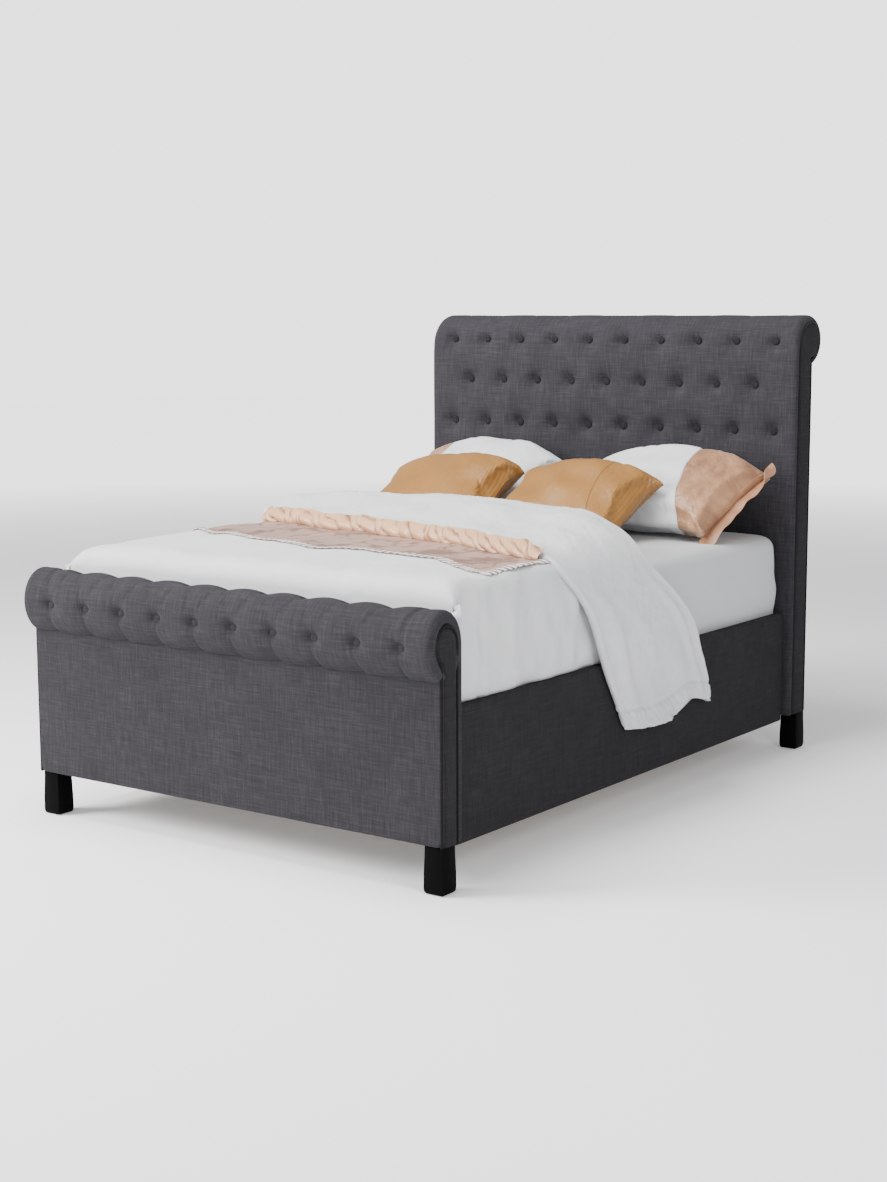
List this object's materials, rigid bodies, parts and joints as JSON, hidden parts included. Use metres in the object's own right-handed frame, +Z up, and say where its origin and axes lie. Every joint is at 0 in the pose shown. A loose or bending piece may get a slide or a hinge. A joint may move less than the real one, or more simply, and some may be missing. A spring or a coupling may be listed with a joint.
{
  "type": "sleigh bed",
  "caption": "Upholstered double bed with a deep buttoned headboard that rolls back, a rolled footboard, slats, mattress and bedding.",
  "frame": {"origin": "on the floor, under the middle of the overall width and length", "axes": "+X to the right of someone who stands at the foot and faces the head, +Y from the foot to the head, +Z up"},
  "size_m": [1.5, 2.2618, 1.48],
  "materials": {
    "linen": "matte",
    "timber": "matte",
    "foot_finish": "satin",
    "slat_wood": "satin",
    "holder_plastic": "satin",
    "fitting_steel": "satin",
    "leg_steel": "satin",
    "mattress_ticking": "matte",
    "white_cotton": "matte",
    "gold_satin": "satin",
    "peach_satin": "satin",
    "lace": "satin"
  },
  "bodies": {
    "frame": {"headboard_cover": "linen", "headboard_back_panel": "linen", "headboard_end_cap_left": "linen", "headboard_end_cap_right": "linen", "headboard_piping_left": "linen", "headboard_piping_right": "linen", "headboard_buttons": "linen", "footboard_roll_cover": "linen", "footboard_buttons": "linen", "footboard_front_panel": "linen", "footboard_inner_panel": "linen", "footboard_end_cap_left": "linen", "footboard_end_cap_right": "linen", "footboard_piping_left": "linen", "footboard_piping_right": "linen", "side_rail_cover_left": "linen", "side_rail_cover_right": "linen", "headboard_front_board": "timber", "headboard_post_left": "timber", "headboard_post_right": "timber", "headboard_cross_rail_top": "timber", "headboard_cross_rail_middle": "timber", "headboard_cross_rail_bottom": "timber", "headboard_roll_former": "timber", "footboard_core": "timber", "footboard_roll_former": "timber", "side_rail_core_left": "timber", "side_rail_core_right": "timber", "slat_ledger_left": "timber", "slat_ledger_right": "timber", "centre_rail": "timber", "foot_front_left": "foot_finish", "foot_front_right": "foot_finish", "foot_back_left": "foot_finish", "foot_back_right": "foot_finish", "slats_left": "slat_wood", "slats_right": "slat_wood", "slat_holders_left": "holder_plastic", "slat_holders_right": "holder_plastic", "slat_holders_centre": "holder_plastic", "foot_bolts": "fitting_steel", "bracket_bolts": "fitting_steel", "hanger_screws": "fitting_steel", "corner_bracket_foot_left": "fitting_steel", "corner_bracket_foot_right": "fitting_steel", "corner_bracket_head_left": "fitting_steel", "corner_bracket_head_right": "fitting_steel", "centre_rail_hanger_foot": "fitting_steel", "centre_rail_hanger_head": "fitting_steel", "centre_leg_1": "leg_steel", "centre_leg_2": "leg_steel"},
    "cushion_left": {"cushion_left": "gold_satin"},
    "cushion_right": {"cushion_right": "gold_satin"},
    "duvet": {"duvet": "white_cotton"},
    "mattress": {"mattress": "mattress_ticking"},
    "pillow_left": {"pillow_left": "white_cotton"},
    "pillow_right": {"pillow_right": "white_cotton"}
  },
  "joints": [
    {"name": "mattress_lift", "type": "slide", "parent": "frame", "child": "mattress", "axis": [0, 0, 1], "range_m": [0, 0.5]},
    {"name": "duvet_lift", "type": "slide", "parent": "mattress", "child": "duvet", "axis": [0, 0, 1], "range_m": [0, 0.45]},
    {"name": "pillow_left_lift", "type": "slide", "parent": "mattress", "child": "pillow_left", "axis": [0, 0, 1], "range_m": [0, 0.4]},
    {"name": "pillow_right_lift", "type": "slide", "parent": "mattress", "child": "pillow_right", "axis": [0, 0, 1], "range_m": [0, 0.4]},
    {"name": "cushion_left_lift", "type": "slide", "parent": "pillow_left", "child": "cushion_left", "axis": [0, 0, 1], "range_m": [0, 0.35]},
    {"name": "cushion_right_lift", "type": "slide", "parent": "pillow_right", "child": "cushion_right", "axis": [0, 0, 1], "range_m": [0, 0.35]}
  ]
}
